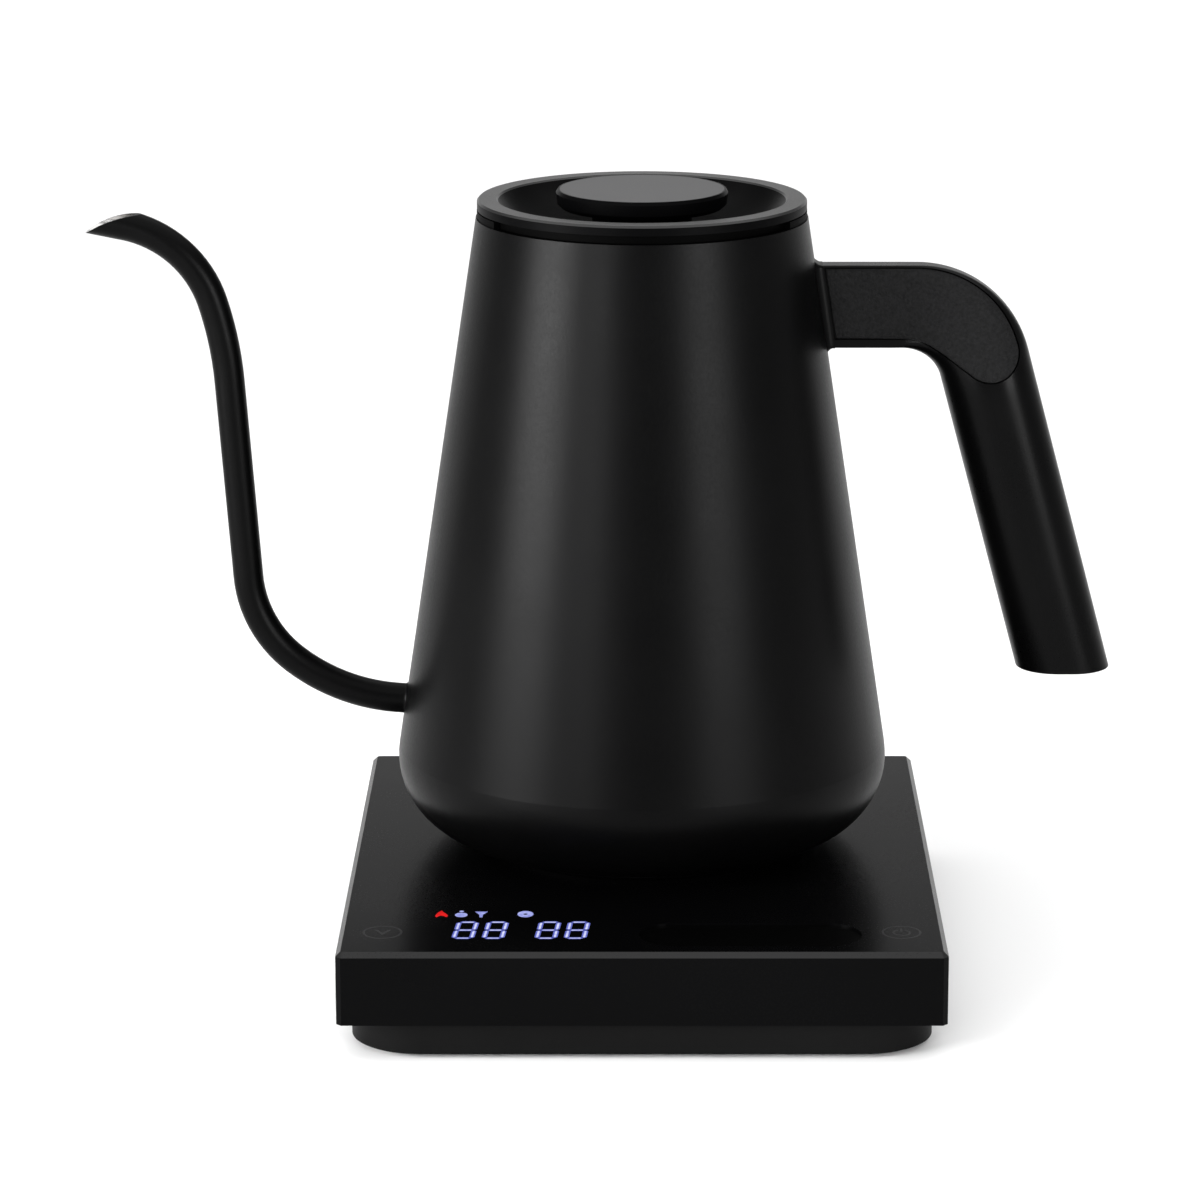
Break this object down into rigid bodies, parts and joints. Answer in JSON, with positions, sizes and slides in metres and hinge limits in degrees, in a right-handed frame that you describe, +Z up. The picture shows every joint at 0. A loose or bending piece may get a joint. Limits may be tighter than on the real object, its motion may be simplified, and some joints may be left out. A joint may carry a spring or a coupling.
{
  "type": "gooseneck kettle",
  "caption": "Electric gooseneck pour-over kettle with a conical body, lift-off lid and side grip, standing on a square power base with a lit touch panel.",
  "frame": {"origin": "on the surface that the base stands on, on the kettle's upright axis", "axes": "+Z up, -X towards the spout, +X towards the handle, -Y towards the control panel"},
  "size_m": [0.2526, 0.164, 0.1908],
  "materials": {
    "body_coating": "satin black powder coat",
    "bare_steel": "brushed stainless steel",
    "spreader": "cast aluminium",
    "element": "heat-tinted sheath",
    "cover_top": "satin black top with glossy front edge",
    "tray_plastic": "fine matt moulded black",
    "handle_plastic": "smooth satin black",
    "pad_rubber": "fine-grained soft-touch skin",
    "collar_plastic": "satin black",
    "lid_plastic": "satin black",
    "knob_grey": "grey anodised, bead blasted",
    "seal_silicone": "dark silicone",
    "foot_rubber": "matt rubber",
    "connector_plastic": "matt heat-resistant plastic",
    "contacts": "plated brass",
    "circuit_board": "green laminate",
    "component_plastic": "moulded component cases",
    "lead_insulation": "silicone insulation",
    "touch_foam": "conductive foam",
    "gland_rubber": "matt rubber",
    "slider_gloss": "smooth dark strip",
    "key_print": "dark grey print",
    "digit_light": "lit periwinkle segments",
    "icon_light": "lit cool white icons",
    "flame_light": "lit red icon"
  },
  "bodies": {
    "base": {"base_cover": "cover_top", "base_tray": "tray_plastic", "foot_strip": "foot_rubber", "base_screws": "bare_steel", "control_board": "circuit_board", "display_module": "component_plastic", "display_digits": "digit_light", "display_icons": "icon_light", "display_flame": "flame_light", "touch_key_marks": "key_print", "touch_pads": "touch_foam", "slider_strip": "slider_gloss", "slider_cap": "slider_gloss", "buzzer": "connector_plastic", "power_board": "circuit_board", "power_relay": "component_plastic", "transformer": "component_plastic", "capacitors": "component_plastic", "ribbon_cable": "lead_insulation", "coupler_socket": "connector_plastic", "socket_contacts": "contacts", "socket_screws": "bare_steel", "cord_gland": "gland_rubber", "terminal_block": "connector_plastic", "mains_leads": "lead_insulation"},
    "shutter": {"coupler_shutter": "connector_plastic"},
    "kettle": {"kettle_shell": "body_coating", "heater_plate": "bare_steel", "heat_spreader": "spreader", "temperature_sensor": "bare_steel", "thermal_cutout": "bare_steel", "heating_element": "element", "element_leads": "lead_insulation", "coupler_plug": "connector_plastic", "plug_contacts": "contacts", "bottom_cover": "tray_plastic", "bottom_screws": "bare_steel", "spout_tube": "body_coating", "spout_filter": "bare_steel", "mouth_collar": "collar_plastic", "handle_bracket": "body_coating", "handle_frame": "handle_plastic", "handle_pad_front": "pad_rubber", "handle_pad_rear": "pad_rubber", "handle_screws": "bare_steel", "grip_end_cap": "handle_plastic"},
    "lid": {"lid_top": "lid_plastic", "lid_inner": "bare_steel", "lid_seal": "seal_silicone", "lid_knob": "lid_plastic", "knob_cap": "knob_grey", "lid_screw": "bare_steel"}
  },
  "joints": [
    {"name": "kettle_swivel", "type": "hinge", "parent": "base", "child": "shutter", "pos_m": [0, 0, 0.035], "axis": [0, 0, 1], "continuous": true},
    {"name": "kettle_lift", "type": "slide", "parent": "shutter", "child": "kettle", "axis": [0, 0, 1], "range_m": [0, 0.08]},
    {"name": "lid_lift", "type": "slide", "parent": "kettle", "child": "lid", "axis": [0, 0, 1], "range_m": [0, 0.06]}
  ]
}
